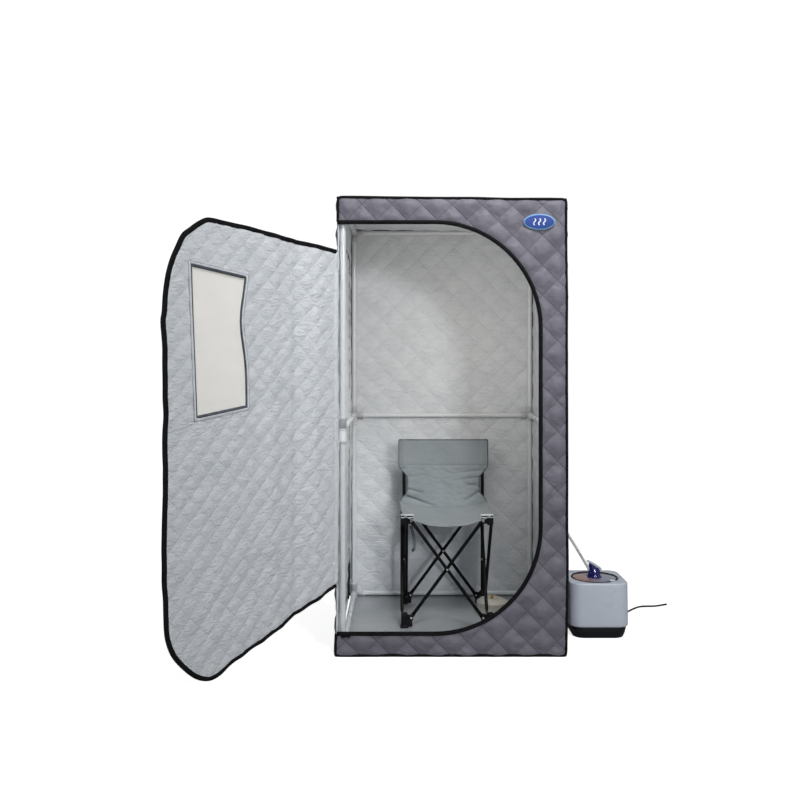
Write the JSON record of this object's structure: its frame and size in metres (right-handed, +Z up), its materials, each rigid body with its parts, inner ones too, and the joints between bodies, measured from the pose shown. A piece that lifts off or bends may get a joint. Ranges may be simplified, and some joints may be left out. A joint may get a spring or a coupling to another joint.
{
  "type": "portable steam sauna",
  "caption": "Quilted steam cabin on a push-fit tube frame with a hinged zip door, folding chair inside, and a steam generator with hose beside it.",
  "frame": {"origin": "middle of the cabin's floor, on its underside", "axes": "+Z up, +X to the right seen from the doorway, +Y from the doorway to the back wall"},
  "size_m": [1.7907, 1.3745, 1.6],
  "materials": {
    "frame_pvc": "smooth white plastic pipe",
    "quilt_grey": "diamond quilted polyester, matt",
    "quilt_silver": "diamond quilted silver coated lining",
    "floor_mat": "coated cloth, slightly glossy",
    "window_film": "frosted film",
    "zip_black": "moulded black",
    "chair_steel": "black powder coat",
    "chair_plastic": "moulded black",
    "chair_cloth": "woven polyester",
    "steamer_white": "satin white moulding",
    "steamer_black": "textured black moulding",
    "lid_clear": "smoked clear plastic",
    "nozzle_blue": "clear blue plastic",
    "hose_white": "silicone hose",
    "cord_black": "black flex",
    "herb_cream": "cream plastic"
  },
  "bodies": {
    "cabin": {"connector_bottom_front_left": "frame_pvc", "connector_top_front_left": "frame_pvc", "connector_mid_front_left": "frame_pvc", "post_front_left": "frame_pvc", "connector_bottom_front_right": "frame_pvc", "connector_top_front_right": "frame_pvc", "connector_mid_front_right": "frame_pvc", "post_front_right": "frame_pvc", "connector_bottom_back_left": "frame_pvc", "connector_top_back_left": "frame_pvc", "connector_mid_back_left": "frame_pvc", "post_back_left": "frame_pvc", "connector_bottom_back_right": "frame_pvc", "connector_top_back_right": "frame_pvc", "connector_mid_back_right": "frame_pvc", "post_back_right": "frame_pvc", "rail_bottom_left": "frame_pvc", "rail_bottom_right": "frame_pvc", "rail_bottom_back": "frame_pvc", "rail_bottom_front": "frame_pvc", "rail_top_left": "frame_pvc", "rail_top_right": "frame_pvc", "rail_top_back": "frame_pvc", "rail_top_front": "frame_pvc", "rail_mid_left": "frame_pvc", "rail_mid_right": "frame_pvc", "rail_mid_back": "frame_pvc", "cover_front": "quilt_grey", "cover_shell": "quilt_grey", "floor_mat": "floor_mat", "steamer_base": "steamer_black", "steamer_housing": "steamer_white", "steamer_nozzle": "nozzle_blue", "steam_hose": "hose_white", "power_cord": "cord_black", "herb_box": "herb_cream", "chair_foot_rear_left": "chair_plastic", "chair_post_rear_left": "chair_steel", "chair_sling": "chair_cloth"},
    "door": {"door_leaf": "quilt_silver", "door_window": "window_film"},
    "zip_slider": {"zip_slider": "zip_black"},
    "lid": {"steamer_lid": "lid_clear"},
    "nozzle_cap": {"nozzle_cap": "steamer_white"},
    "bar_rear_outer": {"chair_bar_rear_outer": "chair_steel"},
    "bar_rear_inner": {"chair_bar_rear_inner": "chair_steel"},
    "bar_left_inner": {"chair_bar_left_inner": "chair_steel"},
    "bar_left_outer": {"chair_bar_left_outer": "chair_steel"},
    "bar_front_inner": {"chair_bar_front_inner": "chair_steel"},
    "bar_front_outer": {"chair_bar_front_outer": "chair_steel"},
    "bar_right_outer": {"chair_bar_right_outer": "chair_steel"},
    "bar_right_inner": {"chair_bar_right_inner": "chair_steel"},
    "foot_rear_right": {"chair_foot_rear_right": "chair_plastic", "chair_post_rear_right": "chair_steel"},
    "foot_front_left": {"chair_foot_front_left": "chair_plastic"},
    "foot_front_right": {"chair_foot_front_right": "chair_plastic"},
    "hub_rear_left": {"chair_hub_rear_left": "chair_plastic"},
    "hub_rear_right": {"chair_hub_rear_right": "chair_plastic"},
    "hub_front_left": {"chair_hub_front_left": "chair_plastic"},
    "hub_front_right": {"chair_hub_front_right": "chair_plastic"}
  },
  "joints": [
    {"name": "chair_fold", "type": "hinge", "parent": "cabin", "child": "bar_rear_outer", "pos_m": [-0.138, 0.26, 0.041], "axis": [0, -1, 0], "range_deg": [0, 28], "deforming": ["chair_sling"]},
    {"name": "rear_cross", "type": "hinge", "parent": "bar_rear_outer", "child": "bar_rear_inner", "pos_m": [0, 0.26, 0.2275], "axis": [0, 1, 0], "range_deg": [0, 56]},
    {"name": "foot_rear_right_pivot", "type": "hinge", "parent": "bar_rear_inner", "child": "foot_rear_right", "pos_m": [0.138, 0.26, 0.041], "axis": [0, -1, 0], "range_deg": [0, 28]},
    {"name": "hub_rear_right_pivot", "type": "hinge", "parent": "bar_rear_outer", "child": "hub_rear_right", "pos_m": [0.138, 0.26, 0.414], "axis": [0, 1, 0], "range_deg": [0, 28]},
    {"name": "hub_rear_left_pivot", "type": "hinge", "parent": "bar_rear_inner", "child": "hub_rear_left", "pos_m": [-0.138, 0.26, 0.414], "axis": [0, -1, 0], "range_deg": [0, 28]},
    {"name": "left_side_swing", "type": "hinge", "parent": "cabin", "child": "bar_left_inner", "pos_m": [-0.165, 0.233, 0.041], "axis": [-1, 0, 0], "range_deg": [0, 28]},
    {"name": "left_cross", "type": "hinge", "parent": "bar_left_inner", "child": "bar_left_outer", "pos_m": [-0.165, 0.095, 0.2275], "axis": [1, 0, 0], "range_deg": [0, 56]},
    {"name": "foot_front_left_pivot", "type": "hinge", "parent": "bar_left_outer", "child": "foot_front_left", "pos_m": [-0.165, -0.043, 0.041], "axis": [-1, 0, 0], "range_deg": [0, 28]},
    {"name": "hub_front_left_pivot", "type": "hinge", "parent": "bar_left_inner", "child": "hub_front_left", "pos_m": [-0.165, -0.043, 0.414], "axis": [1, 0, 0], "range_deg": [0, 28]},
    {"name": "front_swing", "type": "hinge", "parent": "foot_front_left", "child": "bar_front_inner", "pos_m": [-0.138, -0.07, 0.041], "axis": [0, -1, 0], "range_deg": [0, 28]},
    {"name": "front_cross", "type": "hinge", "parent": "bar_front_inner", "child": "bar_front_outer", "pos_m": [0, -0.07, 0.2275], "axis": [0, 1, 0], "range_deg": [0, 56]},
    {"name": "foot_front_right_pivot", "type": "hinge", "parent": "bar_front_outer", "child": "foot_front_right", "pos_m": [0.138, -0.07, 0.041], "axis": [0, -1, 0], "range_deg": [0, 28]},
    {"name": "hub_front_right_pivot", "type": "hinge", "parent": "bar_front_inner", "child": "hub_front_right", "pos_m": [0.138, -0.07, 0.414], "axis": [0, 1, 0], "range_deg": [0, 28]},
    {"name": "right_side_swing", "type": "hinge", "parent": "foot_rear_right", "child": "bar_right_outer", "pos_m": [0.165, 0.233, 0.041], "axis": [-1, 0, 0], "range_deg": [0, 28]},
    {"name": "right_cross", "type": "hinge", "parent": "bar_right_outer", "child": "bar_right_inner", "pos_m": [0.165, 0.095, 0.2275], "axis": [1, 0, 0], "range_deg": [0, 56]},
    {"name": "door_hinge", "type": "hinge", "parent": "cabin", "child": "door", "pos_m": [-0.404, -0.404, 0.8], "axis": [0, 0, 1], "range_deg": [-120, 127.5]},
    {"name": "zip_pull", "type": "slide", "parent": "cabin", "child": "zip_slider", "axis": [1, 0, 0], "range_m": [0, 0.32]},
    {"name": "lid_twist", "type": "hinge", "parent": "cabin", "child": "lid", "pos_m": [0.56, -0.1, 0.202], "axis": [0, 0, 1], "range_deg": [0, 30]},
    {"name": "cap_flip", "type": "hinge", "parent": "cabin", "child": "nozzle_cap", "pos_m": [0.58554, -0.1, 0.23182], "axis": [0, 1, 0], "range_deg": [0, 75]}
  ],
  "couplings": [
    {"joint": "rear_cross", "follows": "chair_fold", "ratio": 2},
    {"joint": "foot_rear_right_pivot", "follows": "chair_fold", "ratio": 1},
    {"joint": "hub_rear_right_pivot", "follows": "chair_fold", "ratio": 1},
    {"joint": "hub_rear_left_pivot", "follows": "chair_fold", "ratio": 1},
    {"joint": "left_side_swing", "follows": "chair_fold", "ratio": 1},
    {"joint": "left_cross", "follows": "chair_fold", "ratio": 2},
    {"joint": "foot_front_left_pivot", "follows": "chair_fold", "ratio": 1},
    {"joint": "hub_front_left_pivot", "follows": "chair_fold", "ratio": 1},
    {"joint": "front_swing", "follows": "chair_fold", "ratio": 1},
    {"joint": "front_cross", "follows": "chair_fold", "ratio": 2},
    {"joint": "foot_front_right_pivot", "follows": "chair_fold", "ratio": 1},
    {"joint": "hub_front_right_pivot", "follows": "chair_fold", "ratio": 1},
    {"joint": "right_side_swing", "follows": "chair_fold", "ratio": 1},
    {"joint": "right_cross", "follows": "chair_fold", "ratio": 2}
  ]
}
